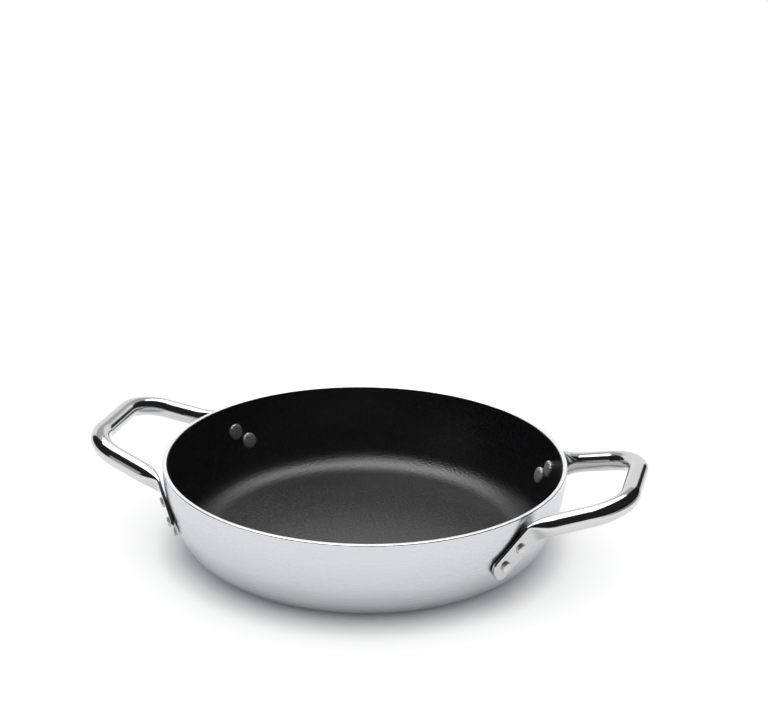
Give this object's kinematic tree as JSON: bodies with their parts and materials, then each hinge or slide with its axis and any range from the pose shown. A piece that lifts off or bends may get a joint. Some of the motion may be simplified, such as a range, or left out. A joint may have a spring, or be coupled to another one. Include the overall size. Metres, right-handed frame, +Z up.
{
  "type": "two-handled pan",
  "caption": "Round shallow pan with curved sides, a dark non-stick inside and two riveted tube handles, for frying, simmering and serving.",
  "frame": {"origin": "middle of the flat base, on the surface that the pan stands on", "axes": "+Z up, +X along the line through both handles, towards the one called right"},
  "size_m": [0.388, 0.28, 0.0735],
  "materials": {
    "pan_aluminium": "satin-polished, turned bright on the rim",
    "nonstick": "matt to satin sprayed coating, fine grain",
    "handle_steel": "polished stainless tube",
    "rivet_aluminium": "satin"
  },
  "bodies": {
    "root": {"pan_body": "pan_aluminium", "nonstick_coating": "nonstick", "handle_right": "handle_steel", "handle_left": "handle_steel", "rivet_right_front_upper": "rivet_aluminium", "rivet_right_front_lower": "rivet_aluminium", "rivet_right_rear_upper": "rivet_aluminium", "rivet_right_rear_lower": "rivet_aluminium", "rivet_left_front_upper": "rivet_aluminium", "rivet_left_front_lower": "rivet_aluminium", "rivet_left_rear_upper": "rivet_aluminium", "rivet_left_rear_lower": "rivet_aluminium"}
  },
  "joints": []
}
